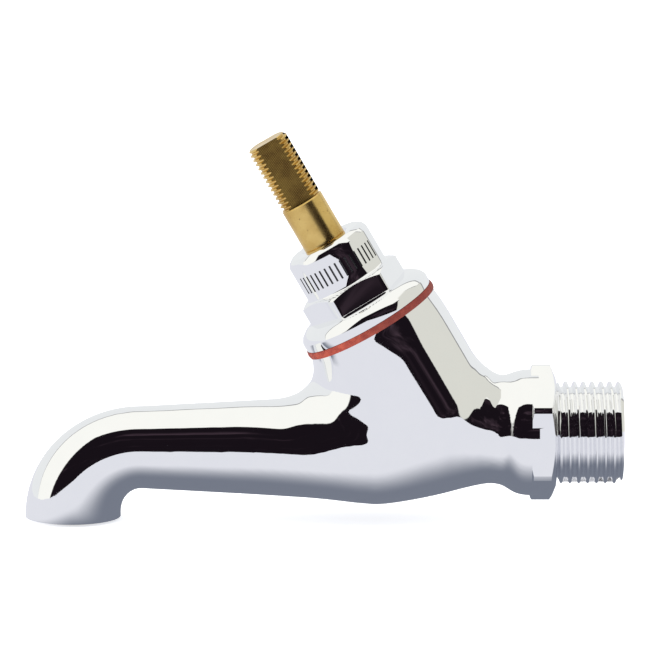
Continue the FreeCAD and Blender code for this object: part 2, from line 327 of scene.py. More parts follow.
# %% Distance fields of the three tubes
def smooth_curve(x, knots, values):
    """A smooth curve through knots, by cubic Hermite pieces with averaged slopes."""
    order = np.argsort(knots)
    k, v = knots[order], values[order]
    secant = np.diff(v) / np.diff(k)
    slope = np.concatenate([secant[:1], (secant[1:] + secant[:-1]) / 2, secant[-1:]])
    slope[np.isclose(k, belly_reach)] = 0.0
    x = np.clip(x, k[0], k[-1])
    i = np.clip(np.searchsorted(k, x) - 1, 0, len(k) - 2)
    h = k[i + 1] - k[i]
    t = (x - k[i]) / h
    a = v[i] * (1 + 2 * t) + h * slope[i] * t
    b = v[i + 1] * (3 - 2 * t) - h * slope[i + 1] * (1 - t)
    return a * (1 - t) ** 2 + b * t**2


def flare_field(p):
    """The flared neck, and the round belly that ends it."""
    around = np.hypot(p[:, 1], p[:, 2])
    radius = smooth_curve(p[:, 0], flare_reach, flare_radius)
    ahead = np.minimum(p[:, 0] - belly_reach, 0)
    return np.where(ahead < 0, np.hypot(ahead, around) - belly_r, (around - radius) * flare_lean)


def spout_field(p):
    """The tapered spout: straight, then a quarter turn that widens towards the outlet."""
    dx, dz = p[:, 0] - bend_centre[0], p[:, 2] - bend_centre[1]
    turn = np.arctan2(np.maximum(-dx, 0), np.maximum(dz, 1e-6)) / (math.pi / 2)
    ease = turn * turn * (3 - 2 * turn)
    out = np.where(dx > 0, dz, np.where(dz < 0, -dx, np.hypot(dx, dz))) - bend_r
    along = np.clip((p[:, 0] - bend_centre[0]) / (belly_reach - bend_centre[0]), 0, 1)
    radius = spout_tip_r + (spout_root_r - spout_tip_r) * along
    half_length = radius + (outlet_half_length - spout_tip_r) * ease
    swell = np.clip((p[:, 0] - swell_reach) / swell_length, 0, 1)
    root_swell = swell_width * swell**2 * (3 - 2 * swell)
    half_width = radius + (outlet_half_width - spout_tip_r) * ease + root_swell
    ahead = np.maximum(p[:, 0] - belly_reach, 0)
    spans = ((out, half_length), (p[:, 1], half_width), (ahead, radius))
    scaled = np.sqrt(sum((offset / size) ** 2 for offset, size in spans)) + 1e-9
    steep = np.sqrt(sum((offset / size**2) ** 2 for offset, size in spans))
    return scaled * (scaled - 1) / (steep + 1e-9)


def branch_field(p):
    """The raked branch: a straight bar with a round foot, left open upwards."""
    axis, face = np.array(head_axis), np.array(head_origin) / MM
    offset = p - face
    height = offset @ axis
    across = np.linalg.norm(offset - height[:, None] * axis, axis=1)
    below = np.minimum(height + branch_foot_depth, 0)
    rim = rim_ease * np.clip(1 + height / rim_length, 0, 1) ** 2
    return np.hypot(across, below) - branch_r + rim


# %% Joining fields with fillets
def slope_of(field, p, step=0.05):
    """The direction in which a field grows fastest, by small differences."""
    rows = []
    for i in range(3):
        move = np.zeros(3)
        move[i] = step
        rows.append((field(p + move) - field(p - move)) / (2 * step))
    return np.stack(rows, axis=1)


def fillet_join(first, second, size):
    """Joins two fields with a fillet that fades where their surfaces already run alongside each other."""

    def joined(p):
        a, b = first(p), second(p)
        result = np.minimum(a, b)
        near = (np.abs(a - b) < size) & (result < size)
        if near.any():
            q = p[near]
            lean = np.sum(slope_of(first, q) * slope_of(second, q), axis=1)
            k = size * np.clip(2.2 - 2 * lean, 0.15, 1.0)
            h = np.clip(1 - np.abs(a[near] - b[near]) / k, 0, 1)
            result[near] -= h * h * k * 0.25
        return result

    return joined


neck_and_spout = fillet_join(flare_field, spout_field, spout_fillet)
casting_field = fillet_join(neck_and_spout, branch_field, branch_fillet)
print("field at the belly's middle:", casting_field(np.array([[belly_reach, 0.0, 0.0]])).round(2))


# %% [markdown]
# A Remesh modifier could mesh the tubes too, but it leaves ripples that chrome makes plain. The mesh from
# a grid is even but a little noisy. A few rounds of relaxing slide the vertices over the surface, and
# each round ends by pulling them back to the exact zero level along the field's slope. The last rounds
# work like a polishing mop: pairs of steps, one inward and one outward, take out short ripples and leave
# the shape.

# %% From field to mesh
relax_rounds, polish_rounds = 8, 50


def field_mesh(name, field, low, high, step):
    """Meshes the zero level of a field between two corners in millimetres. The mesh is in metres."""
    counts = np.ceil((np.array(high) - low) / step).astype(int)
    axes = [low[i] + step * np.arange(counts[i]) for i in range(3)]
    values = np.empty(counts, np.float32)
    for i, x in enumerate(axes[0]):
        y, z = np.meshgrid(axes[1], axes[2], indexing="ij")
        slab = np.stack([np.full(y.size, x), y.ravel(), z.ravel()], axis=1)
        values[i] = field(slab).reshape(y.shape)
    grid = openvdb.FloatGrid(background=5.0)
    grid.copyFromArray(values)
    points, quads = grid.convertToQuads(isovalue=0.0)
    points = points.astype(float) * step + np.array(low)
    sides = [quads[:, [k, (k + 1) % 4]] for k in range(4)]
    edges = np.unique(np.sort(np.concatenate(sides), axis=1), axis=0)
    edges = np.concatenate([edges, edges[:, ::-1]])
    count = np.bincount(edges[:, 0], minlength=len(points))[:, None]

    def relaxed(strength):
        mean = np.zeros_like(points)
        np.add.at(mean, edges[:, 0], points[edges[:, 1]])
        return points + strength * (mean / count - points)

    for _ in range(relax_rounds):
        points = relaxed(0.5)
        for _ in range(2):
            slope = slope_of(field, points)
            points -= slope * (field(points) / np.sum(slope * slope, axis=1))[:, None]
    for strength in (0.5, -0.52) * polish_rounds:
        points = relaxed(strength)
    mesh = bpy.data.meshes.new(name)
    mesh.from_pydata((points * MM).tolist(), [], quads.tolist())
    mesh.validate()
    return mesh


skin_low = (-112.0, -17.0, -22.0)
skin_high = (-1.0, 17.0, 34.0)
skin_step = 0.55
skin_mesh = field_mesh("casting_skin", casting_field, skin_low, skin_high, skin_step)
print("skin:", len(skin_mesh.polygons), "faces")

# %% [markdown]
# ## Cutting the casting
#
# The skin runs on past the places where the real casting is machined: the outlet's rim, the branch's face
# and the back of the hexagon. Plane cuts with flat caps make two of them, and a Boolean makes the
# branch's face, because a plane there would cut the spout as well. Booleans need closed solids, so the
# helpers below build only those, and a count of open edges after the cuts shows that the skin is still
# closed.

# %% Helpers for meshes and objects
ring_steps = 144


def make_object(name, mesh, materials):
    made = bpy.data.objects.new(name, mesh)
    bpy.context.scene.collection.objects.link(made)
    for finish in materials:
        made.data.materials.append(finish.material)
    return made


@contextmanager
def reworked(mesh):
    """Opens a mesh for editing and writes it back at the end."""
    work = bmesh.new()
    work.from_mesh(mesh)
    yield work
    work.to_mesh(mesh)
    work.free()


def open_edges(mesh):
    """How many edges don't join exactly two faces."""
    sides = Counter(key for face in mesh.polygons for key in face.edge_keys)
    return sum(1 for count in sides.values() if count != 2)


print(ring_steps, "steps round each turned piece")


# %% Turned solids
merge_distance = 0.0005 * MM


def turned(name, rows, finish, closed=True):
    """
    A turned solid about +Z. A row is (radius, height), in millimetres, and each may be a function of the
    angle. A closed profile ends where it starts, and an open one starts and ends on the axis.
    """
    angles = np.linspace(0, 2 * math.pi, ring_steps, endpoint=False)
    points, faces = [], []
    for radius, height in rows:
        r = radius(angles) if callable(radius) else np.full(ring_steps, float(radius))
        h = height(angles) if callable(height) else np.full(ring_steps, float(height))
        points.append(np.stack([r * np.cos(angles), r * np.sin(angles), h], axis=1))
    links = range(len(rows)) if closed else range(len(rows) - 1)
    for i in links:
        a, b = i * ring_steps, (i + 1) % len(rows) * ring_steps
        for j in range(ring_steps):
            k = (j + 1) % ring_steps
            faces.append((a + j, a + k, b + k, b + j))
    mesh = bpy.data.meshes.new(name)
    mesh.from_pydata((np.concatenate(points) * MM).tolist(), [], faces)
    with reworked(mesh) as work:
        bmesh.ops.remove_doubles(work, verts=work.verts, dist=merge_distance)
        bmesh.ops.dissolve_degenerate(work, edges=work.edges, dist=merge_distance)
        bmesh.ops.recalc_face_normals(work, faces=work.faces)
    return make_object(name, mesh, [finish])


# %% Edges and shading
def finished(made):
    """Applies an object's modifiers and leaves a plain mesh."""
    graph = bpy.context.evaluated_depsgraph_get()
    mesh = bpy.data.meshes.new_from_object(made.evaluated_get(graph))
    old = made.data
    made.modifiers.clear()
    made.data = mesh
    bpy.data.meshes.remove(old)
    return made


def shade_by_angle(made, degrees):
    """Smooth shading, with an edge left hard where its faces meet at more than the angle."""
    limit = math.radians(degrees)
    with reworked(made.data) as work:
        for face in work.faces:
            face.smooth = True
        for edge in work.edges:
            edge.smooth = len(edge.link_faces) == 2 and edge.calc_face_angle(0) < limit


def ease_edges(made, width, degrees=28.0):
    """Rounds every hard edge a little, as a tumbler and a polishing mop do."""
    bevel = made.modifiers.new("ease", "BEVEL")
    bevel.width = width * MM
    bevel.segments = 2
    bevel.limit_method = "ANGLE"
    bevel.angle_limit = math.radians(degrees)
    bevel.harden_normals = False
    finished(made)


# %% Joining and cutting
def combine(made, others, operation):
    """Adds other solids to an object, or takes them away, and removes them."""
    for other in others:
        step = made.modifiers.new("combine", "BOOLEAN")
        step.operation = operation
        step.solver = "MANIFOLD"
        step.material_mode = "TRANSFER"
        step.object = other
        finished(made)
        bpy.data.objects.remove(other)


def cut_flat(mesh, point, normal):
    """Cuts a closed mesh with a plane, drops the side that the normal points to, and caps the hole."""
    with reworked(mesh) as work:
        everything = work.verts[:] + work.edges[:] + work.faces[:]
        cut = bmesh.ops.bisect_plane(
            work, geom=everything, dist=1e-7, plane_co=point, plane_no=normal, clear_outer=True
        )
        rim = [e for e in cut["geom_cut"] if isinstance(e, bmesh.types.BMEdge)]
        bmesh.ops.triangle_fill(work, edges=rim, use_beauty=True, use_dissolve=True, normal=normal)


# %% Cutting the skin
cut_flat(skin_mesh, Vector((0, 0, outlet_height * MM)), Vector((0, 0, -1)))
cut_flat(skin_mesh, Vector(((hex_reach + 1.5) * MM, 0, 0)), Vector((1, 0, 0)))
tap_body = make_object("tap_body", skin_mesh, [chrome])
milled_rows = [(0, 0), (branch_r + 3, 0), (branch_r + 3, 30), (0, 30)]
milled_away = turned("milled_away", milled_rows, chrome, closed=False)
milled_away.data.transform(head_matrix)
combine(tap_body, [milled_away], "DIFFERENCE")
print("open edges after the cuts:", open_edges(tap_body.data))

# %% [markdown]
# ## Hexagons with turned corners
#
# A spanner hexagon starts as a turned blank with chamfered ends, and the flats are milled afterwards.
# That gives each flat its curved upper and lower edge, because a cone meets a plane there. The same curve
# comes from one rule: at each angle round the nut the flat has a radius, and the chamfer starts at the
# height where the cone has that radius. A Boolean of a prism and a cone would do as well, but it leaves
# slivers that an eased edge can't pass.

# %% The outline of a milled hexagon
def hex_radius(flats, turned_d, turn=0.0):
    """A hexagon's radius at an angle, limited by the turned diameter. At turn 0 a corner lies on +X."""

    def radius(angle):
        from_flat = (angle - math.radians(turn)) % (math.pi / 3) - math.pi / 6
        return np.minimum(flats / 2 / np.cos(from_flat), turned_d / 2)

    return radius


def chamfer_rows(radius, face_r, face_h, slope):
    """Two rows, the hexagon's edge at its end face and where the chamfer cone meets the flats."""
    edge = (lambda angle: np.minimum(radius(angle), face_r), face_h)
    flat = (radius, lambda angle: face_h + slope * np.maximum(radius(angle) - face_r, 0))
    return edge, flat


hex_corner = float(hex_radius(25.0, 40.0)(np.zeros(1))[0])
print("a 25 mm hexagon is", round(2 * hex_corner, 2), "mm over its corners")


# %% [markdown]
# ## Real helical threads, with Geometry Nodes
#
# A Screw modifier can sweep a thread, but its ends are hard to close. Geometry Nodes can move every point
# by a rule instead. The tree starts from a flat grid. One side of the grid goes round the bar and the
# other runs along it, and each column is pushed along by its share of the pitch, so that rows follow the
# helix and crests stay clean. The height at which a point lands, less the turn that it has made, gives
# its phase in the thread, and a rounded saw of the phase gives its radius.

# %% Tools for trees
class Web:
    """Adds nodes to a Geometry Nodes tree, with the same one-line call as a finish."""

    def __init__(self, name, inputs):
        self.tree = bpy.data.node_groups.new(name, "GeometryNodeTree")
        for label, kind, value in inputs:
            socket = self.tree.interface.new_socket(label, in_out="INPUT", socket_type=kind)
            if value is not None:
                socket.default_value = value
        self.tree.interface.new_socket("Geometry", in_out="OUTPUT", socket_type="NodeSocketGeometry")
        self.start = self.tree.nodes.new("NodeGroupInput")
        self.end = self.tree.nodes.new("NodeGroupOutput")

    def input(self, label):
        return Value(self, self.start.outputs[label])

    node = Finish.node
    feed = Finish.feed
    axes = Finish.axes

    def painted(self, geometry):
        """Makes instances real and gives the geometry the tree's material."""
        real = self.node("GeometryNodeRealizeInstances", inputs={"Geometry": geometry})
        inputs = {"Geometry": real, "Material": self.input("Material")}
        return self.node("GeometryNodeSetMaterial", inputs=inputs)

    def close(self, geometry):
        self.tree.links.new(geometry.socket, self.end.inputs["Geometry"])
        return self.tree


def set_inputs(step, **values):
    """Sets a Geometry Nodes modifier's inputs. They are kept by identifier, so each name is looked up."""
    items = step.node_group.interface.items_tree
    sockets = {item.name: item.identifier for item in items if item.in_out == "INPUT"}
    for label, value in values.items():
        step[sockets[label.replace("_", " ")]] = value


FLOAT, INT = "NodeSocketFloat", "NodeSocketInt"
MATERIAL, GEOMETRY = "NodeSocketMaterial", "NodeSocketGeometry"
print("tree tools ready")


# %% The thread tree
def thread_tree():
    """A threaded bar about +Z from height 0 to Length, right-handed, with chamfered ends that stay open."""
    labels = ["Radius", "Depth", "Pitch", "Length", "Lead", "Foot Radius", "Phase"]
    inputs = [(label, FLOAT, 1.0) for label in labels]
    inputs += [("Columns", INT, 96), ("Rows", INT, 100), ("Material", MATERIAL, None)]
    web = Web("thread", inputs)
    radius, depth, pitch, length, lead, foot, phase = [web.input(label) for label in labels]
    columns, rows = web.input("Columns"), web.input("Rows")
    sizes = {"Size X": 1.0, "Size Y": 1.0, "Vertices X": columns, "Vertices Y": rows}
    grid = web.node("GeometryNodeMeshGrid", inputs=sizes)
    place = web.node("GeometryNodeInputPosition")
    across, along = [axis + 0.5 for axis in web.axes(place)[:2]]
    height = along * (length + pitch * 2.0) - pitch + across * pitch
    height = height.math("MAXIMUM", 0.0).math("MINIMUM", length)
    turns = (height + phase).math("DIVIDE", pitch) - across
    saw = turns.math("PINGPONG", 0.5) * 2.0
    groove = between(saw, 0.18, 0.82)
    bar = radius - groove * depth
    top_limit = radius - lead + (length - height)
    foot_limit = foot + height * 1.2
    bar = bar.math("MINIMUM", top_limit).math("MINIMUM", foot_limit)
    angle = across * (2 * math.pi)
    ring = (bar * angle.math("COSINE"), bar * angle.math("SINE"), height)
    point = web.node("ShaderNodeCombineXYZ", inputs=ring)
    moved = web.node("GeometryNodeSetPosition", inputs={"Geometry": grid, "Position": point})
    merged = web.node("GeometryNodeMergeByDistance", inputs={"Geometry": moved, "Distance": 0.0000005})
    return web.close(web.painted(merged))


def grow(name, tree, finish, **inputs):
    """Runs a Geometry Nodes tree on an empty mesh and returns the plain result."""
    made = make_object(name, bpy.data.meshes.new(name), [])
    step = made.modifiers.new("grow", "NODES")
    step.node_group = tree
    set_inputs(step, Material=finish.material, **inputs)
    return finished(made)


def cap_ends(mesh):
    """Closes the open rings of a bar with flat faces."""
    with reworked(mesh) as work:
        bmesh.ops.holes_fill(work, edges=[e for e in work.edges if e.is_boundary])
        bmesh.ops.recalc_face_normals(work, faces=work.faces)


# %% The inlet's thread
thread = thread_tree()
inlet_pitch, inlet_length = 1.814, body_high.x / MM
thread_rows = int(inlet_length / inlet_pitch + 2) * 12 + 1
inlet_thread = grow(
    "inlet_thread",
    thread,
    chrome,
    Radius=mounts["inlet_thread"]["dims"]["r_mm"] * MM,
    Depth=1.162 * MM,
    Pitch=inlet_pitch * MM,
    Length=inlet_length * MM,
    Lead=0.75 * MM,
    Foot_Radius=9.7 * MM,
    Phase=0.6 * MM,
    Columns=ring_steps + 1,
    Rows=thread_rows,
)
cap_ends(inlet_thread.data)
print("inlet thread:", len(inlet_thread.data.polygons), "faces")

# %% [markdown]
# ## The body in one piece
#
# The inlet's hexagon is turned down at its corners and chamfered towards the wall. It is laid along the
# inlet axis and added to the casting. Then the waterway is taken out: the inlet's bore, the chamber under
# the bonnet, and the cored passage that follows the spout round to the outlet. Cores leave raw metal, so
# the passage keeps a duller finish than the plated outside. The thread stays a closed shell of its own,
# because its many small faces lie flush with the hexagon, where Booleans are unreliable.

# %% Raw cored brass
cored = Finish("cored_brass", (0.55, 0.4, 0.2))
cored_sand = cored.noise(1800.0, 4.0, 0.6)
cored.set(
    Base_Color=mix_color(cored, cored_sand, (0.3, 0.2, 0.09), (0.55, 0.39, 0.19)),
    Metallic=0.85,
    Roughness=between(cored_sand, 0.3, 0.7, 0.45, 0.7),
    Normal=cored.bump(cored_sand, 0.0001, 0.6),
)


print("cored brass:", len(cored.tree.nodes), "nodes")


# %% Round bars along a path
def tube(name, centres, radius):
    """A closed round bar along points in the plane of the spout, in millimetres."""
    centres = np.array(centres, float)
    ahead = np.gradient(centres, axis=0)
    ahead /= np.linalg.norm(ahead, axis=1)[:, None]
    angles = np.linspace(0, 2 * math.pi, ring_steps, endpoint=False)
    points, faces = [], []
    for centre, way in zip(centres, ahead):
        across = np.array([way[2], 0.0, -way[0]])
        ring = np.cos(angles)[:, None] * across + np.sin(angles)[:, None] * np.array([0.0, 1.0, 0.0])
        points.append(centre + radius * ring)
    for i in range(len(centres) - 1):
        for j in range(ring_steps):
            k = (j + 1) % ring_steps
            low, high = i * ring_steps, (i + 1) * ring_steps
            faces.append((low + j, low + k, high + k, high + j))
    mesh = bpy.data.meshes.new(name)
    mesh.from_pydata((np.concatenate(points) * MM).tolist(), [], faces)
    cap_ends(mesh)
    return make_object(name, mesh, [cored])


# %% Waterway from the seat to the outlet
spout_bore_r, outlet_bore_r = 6.1, mounts["outlet_bore"]["dims"]["r_mm"]
outlet_bore_length = mounts["outlet_bore"]["dims"]["length_mm"]
outlet_reach = mounts["outlet_bore"]["pos_m"][0] / MM
core_bend_r = 14.0
turn = np.linspace(0, math.pi / 2, 25)
bend_x = outlet_reach + core_bend_r - core_bend_r * np.sin(turn)
bend_z = spout_drop - core_bend_r + core_bend_r * np.cos(turn)
passage = [(-36.2, 0, -0.8), (-41, 0, -2.4), (-48, 0, spout_drop), (-66, 0, spout_drop)]
passage += [(x, 0, z) for x, z in zip(bend_x, bend_z)] + [(outlet_reach, 0, outlet_height - 1)]
core = tube("core", passage, spout_bore_r)
mouth_rows = [(outlet_reach, 0, outlet_height - 2), (outlet_reach, 0, outlet_height + outlet_bore_length)]
mouth = tube("mouth", mouth_rows, outlet_bore_r)
print("passage:", len(passage), "points round to the outlet at", round(outlet_reach, 1), "mm")

# %% Chamber and seat under the bonnet
chamber_r, tapping_r, tapping_depth = 9.8, 10.55, 8.3
seat_depth, seat_lip, lip_r, port_r, port_depth = 19.5, 1.5, 7.4, 6.0, 26.56
chamber_rows = [(0, 1), (tapping_r, 1), (tapping_r, -tapping_depth), (chamber_r, -tapping_depth)]
chamber_rows += [(chamber_r, -seat_depth - seat_lip), (lip_r, -seat_depth - seat_lip), (lip_r, -seat_depth)]
chamber_rows += [(port_r, -seat_depth), (port_r, -port_depth), (0, -port_depth)]
chamber = turned("chamber", chamber_rows, cored, closed=False)
chamber.data.transform(head_matrix)
print("seat", seat_depth, "mm below the branch's face")

# %% Inlet hexagon and bore
inlet_flats, inlet_turned_d = 25.0, 28.2
inlet_hex = hex_radius(inlet_flats, inlet_turned_d)
back_edge, back_flat = chamfer_rows(inlet_hex, 13.5, hex_reach, 0.55)
front_edge, front_flat = chamfer_rows(inlet_hex, 11.2, 0.0, -0.42)
hex_rows = [(3, hex_reach), back_edge, back_flat, front_flat, front_edge, (3, 0.0)]
inlet_hexagon = turned("inlet_hexagon", hex_rows, chrome)
ease_edges(inlet_hexagon, 0.22)
inlet_bore_r, bore_straight, bore_chamfer, overshoot = 6.5, 20, 0.5, 2
bore_rows = [(0, inlet_length + overshoot), (inlet_bore_r + bore_chamfer, inlet_length + overshoot)]
bore_rows += [(inlet_bore_r + bore_chamfer, inlet_length), (inlet_bore_r, inlet_length - bore_chamfer)]
for t in np.linspace(0, math.pi / 2, 9):
    bore_rows.append((inlet_bore_r * math.cos(t), -bore_straight - inlet_bore_r * math.sin(t)))
body_bore = turned("body_bore", bore_rows, cored, closed=False)
thread_bore = turned("thread_bore", bore_rows, cored, closed=False)
for piece in (inlet_hexagon, inlet_thread, body_bore, thread_bore):
    piece.data.transform(inlet_matrix)
combine(tap_body, [inlet_hexagon], "UNION")
combine(tap_body, [body_bore, core, mouth, chamber], "DIFFERENCE")
combine(inlet_thread, [thread_bore], "DIFFERENCE")
shade_by_angle(tap_body, 30)
shade_by_angle(inlet_thread, 30)


# %% The thread joins as a shell
def add_shell(made, other):
    """Adds another closed shell to an object's mesh, as it is."""
    slots = [max(made.data.materials.find(m.name), 0) if m else 0 for m in other.data.materials]
    for face in other.data.polygons:
        face.material_index = slots[face.material_index]
    with reworked(made.data) as work:
        work.from_mesh(other.data)
    bpy.data.objects.remove(other)


add_shell(tap_body, inlet_thread)
print("body:", len(tap_body.data.polygons), "faces, open edges:", open_edges(tap_body.data))

# %% [markdown]
# ## The bonnet
#
# The bonnet is turned from bar in one piece: a barrel that screws into the branch, a flange, the hexagon
# and a round cap. Separate rings could be stacked, but one profile, a list of rows from the bore outwards
# and down, leaves no hidden faces between them. The cap carries a row of plain upright strokes. They
# repeat, so a second Geometry Nodes tree sinks them: it takes the faces that are marked and pushes each
# one in by a set depth.

# %% Painted shade for the sunk strokes
# Painted shade: the sunk strokes get a near-black metal that stands in for the shade in their recesses, and
# a noise varies that dark.
stroke_shade = Finish("stamped_chrome", (0.2, 0.2, 0.21))
stroke_shade_mottle = stroke_shade.noise(1500.0, 3.0, 0.6)
stroke_shade.set(
    Base_Color=mix_color(stroke_shade, stroke_shade_mottle, (0.05, 0.05, 0.055), (0.16, 0.16, 0.17)),
    Metallic=1.0,
    Roughness=between(stroke_shade_mottle, 0.3, 0.7, 0.35, 0.6),
)
print("stroke painted shade:", len(stroke_shade.tree.nodes), "nodes")


# %% Strokes tree
def strokes_tree():
    """Sinks each face that the stroke attribute marks, straight in, by Depth."""
    inputs = [("Blank", GEOMETRY, None), ("Depth", FLOAT, 0.0002)]
    inputs += [("Material", MATERIAL, None), ("Sunk Material", MATERIAL, None)]
    web = Web("strokes", inputs)
    marked = web.node("GeometryNodeInputNamedAttribute", {"data_type": "BOOLEAN"}, {"Name": "stroke"})
    inputs = {"Mesh": web.input("Blank"), "Selection": marked, "Offset Scale": web.input("Depth") * -1.0}
    inputs["Individual"] = True
    sunk = web.node("GeometryNodeExtrudeMesh", {"mode": "FACES"}, inputs)
    painted = web.painted(sunk)
    # The sunk faces get the Sunk Material, which carries the painted shade of the recesses.
    for part in ("Top", "Side"):
        chosen = Value(web, sunk.socket.node.outputs[part])
        inputs = {"Geometry": painted, "Selection": chosen, "Material": web.input("Sunk Material")}
        painted = web.node("GeometryNodeSetMaterial", inputs=inputs)
    return web.close(painted)


# %% The bonnet's profile
washer_top = 1.5
bonnet_hex_base, bonnet_hex_top, cap_top = 5.7, 10.2, 19.5
flange_r, cap_r, bonnet_flats, bonnet_turn = 14.45, 9.05, 19.4, 9.0
stem_bore_r, screw_bore_r, bonnet_stop, barrel_r, barrel_end = 4.55, 6.05, 4.7, 10.4775, -8.0
bonnet_hex = hex_radius(bonnet_flats, 30.0, bonnet_turn)
bonnet_edge, bonnet_flat = chamfer_rows(bonnet_hex, bonnet_flats / 2 - 0.15, bonnet_hex_top, -0.55)
stroke_low, stroke_high = 12.3, 15.9
bonnet_rows = [
    (stem_bore_r, bonnet_stop),
    (stem_bore_r, cap_top - 0.5),
    (stem_bore_r + 0.45, cap_top - 0.5),
    (stem_bore_r + 0.6, cap_top),
    (cap_r - 1.35, cap_top),
    (cap_r - 0.45, cap_top - 0.65),
    (cap_r, cap_top - 1.5),
    (cap_r, stroke_high),
    (cap_r, stroke_low),
    (cap_r, bonnet_hex_top + 0.3),
    (cap_r + 0.25, bonnet_hex_top),
    bonnet_edge,
    bonnet_flat,
    (bonnet_hex, bonnet_hex_base),
    (11.6, bonnet_hex_base - 0.1),
    (12.9, bonnet_hex_base - 0.7),
    (13.9, bonnet_hex_base - 1.5),
    (flange_r, bonnet_hex_base - 2.4),
    (flange_r, washer_top),
    (barrel_r, washer_top),
    (barrel_r, barrel_end + 1),
    (barrel_r - 1, barrel_end),
    (screw_bore_r, barrel_end),
    (screw_bore_r, bonnet_stop),
]
bonnet_blank = turned("bonnet_dressed", bonnet_rows, chrome)
print("bonnet blank:", len(bonnet_blank.data.polygons), "faces")

# %% Marking and sinking the strokes
stroke = bonnet_blank.data.attributes.new("stroke", "BOOLEAN", "FACE")
stroke_gap, stroke_arc = 3, 62.0
column = 2 * math.pi / ring_steps
marked = []
for face in bonnet_blank.data.polygons:
    centre = face.center / MM
    angle = math.atan2(centre.y, centre.x)
    inside = stroke_low < centre.z < stroke_high and math.hypot(centre.x, centre.y) > cap_r - 0.1
    on_front = abs(math.degrees(angle) + 90) < stroke_arc
    marked.append(inside and on_front and int(angle // column) % stroke_gap == 0)
stroke.data.foreach_set("value", marked)
ease_edges(bonnet_blank, 0.16, 24)
sink = bonnet_blank.modifiers.new("sink", "NODES")
sink.node_group = strokes_tree()
set_inputs(sink, Depth=0.22 * MM, Material=chrome.material, Sunk_Material=stroke_shade.material)
finished(bonnet_blank)
bonnet_blank.data.transform(head_matrix)
shade_by_angle(bonnet_blank, 30)
print("bonnet:", len(bonnet_blank.data.polygons), "faces,", sum(marked), "strokes")

# %% [markdown]
# ## The spindle
#
# Turned brass: the working screw at the bottom, two grooves for the rings, the plain stem, and the head
# that takes a handle. The head is threaded first and two flats are milled on it afterwards, so the
# thread's crests leave a scalloped edge along each flat. A Boolean does what the milling cutter does.

# %% Stem
screw_base, screw_top, screw_r, screw_ease = -13.0, -2.0, 6.0, 0.4
stem_r, head_base, head_top = 4.5, 28.9, 43.2
socket_r, socket_top = 3.05, -3.5
groove_r, groove_half = 3.05, 1.0
stem_rows = [(0, socket_top), (socket_r, socket_top), (socket_r, screw_base)]
stem_rows += [(screw_r - screw_ease, screw_base), (screw_r, screw_base + screw_ease)]
stem_rows += [(screw_r, screw_top - screw_ease), (screw_r - screw_ease, screw_top), (stem_r, screw_top)]
for groove in (7.8, 11.6):
    stem_rows += [(stem_r, groove - groove_half), (groove_r, groove - groove_half)]
    stem_rows += [(groove_r, groove + groove_half), (stem_r, groove + groove_half)]
stem_rows += [(stem_r, head_base - 0.25), (stem_r - 0.25, head_base), (0, head_base)]
spindle_dressed = turned("spindle_dressed", stem_rows, brass, closed=False)
print("stem:", len(stem_rows), "rows")

# %% Threaded head and its flats
head_flats, head_turn, head_sink = 6.3, 3.0, 0.5
head_thread = grow(
    "head_thread",
    thread,
    brass,
    Radius=4.35 * MM,
    Depth=0.5 * MM,
    Pitch=1.0 * MM,
    Length=(head_top - head_base + head_sink) * MM,
    Lead=0.55 * MM,
    Foot_Radius=4.3 * MM,
    Phase=0.0,
    Columns=97,
    Rows=int(head_top - head_base + 2.5) * 10 + 1,
)
cap_ends(head_thread.data)
head_thread.data.transform(Matrix.Translation((0, 0, (head_base - head_sink) * MM)))
cutter_size, cutter_height = (12.0, 4.0, 15.0), 36.4
turned_head = Matrix.Rotation(math.radians(head_turn), 4, "Z")
for side in (-1, 1):
    cutter_mesh = bpy.data.meshes.new("cutter")
    with reworked(cutter_mesh) as work:
        bmesh.ops.create_cube(work, size=1)
    centre = Vector((0, side * (head_flats + cutter_size[1]) / 2, cutter_height)) * MM
    scaled = Matrix.Diagonal((*(length * MM for length in cutter_size), 1))
    cutter_mesh.transform(turned_head @ Matrix.Translation(centre) @ scaled)
    combine(head_thread, [make_object("cutter", cutter_mesh, [milled])], "DIFFERENCE")
combine(spindle_dressed, [head_thread], "UNION")
spindle_dressed.data.transform(head_matrix)
shade_by_angle(spindle_dressed, 32)
print("spindle:", len(spindle_dressed.data.polygons), "faces")

# %% [markdown]
# ## The fibre washer
#
# It is punched from sheet, so its edges are nearly square, and the bonnet has squeezed its rim out a
# little. A plain ring would do from afar, but a rounded rim takes a line of light, so the profile bulges
# slightly.

# %% Washer
washer_r, washer_bore_r, washer_bulge = 14.65, 10.63, 0.05
washer_air, washer_ease, washer_shoulder = 0.02, 0.1, 0.35
upper_face, upper_shoulder = washer_top - washer_air, washer_top - washer_shoulder
washer_rows = [(washer_bore_r, washer_air), (washer_r - washer_ease, washer_air)]
washer_rows += [(washer_r, washer_shoulder), (washer_r + washer_bulge, washer_top / 2)]
washer_rows += [(washer_r, upper_shoulder)]
washer_rows += [(washer_r - washer_ease, upper_face), (washer_bore_r, upper_face)]
washer_dressed = turned("washer_dressed", washer_rows, fibre)
washer_dressed.data.transform(head_matrix)
shade_by_angle(washer_dressed, 60)
print("washer:", len(washer_dressed.data.polygons), "faces")

# %% [markdown]
# ## What rides on what
#
# Each new piece rides on the body that its node belongs to and hides that node. The pieces inside keep
# their engineering shape and only get a finish.

# %% Riding and slots
for piece, node, body_name, slot in (
    (tap_body, "body", "root", "chrome"),
    (bonnet_blank, "bonnet", "root", "chrome"),
    (washer_dressed, "body_washer", "root", "red_fibre"),
    (spindle_dressed, "spindle", "spindle", "brass"),
):
    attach(piece, body_name)
    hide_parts(node)
inner_finishes = {"spindle_o_rings": rubber, "jumper_washer": rubber}
inner_finishes |= {"jumper_valve": brass, "jumper_nut": brass}
for node, finish in inner_finishes.items():
    slots = frame["nodes"][node].data.materials
    slots.clear()
    slots.append(finish.material)
print("pieces inside:", sorted(inner_finishes))

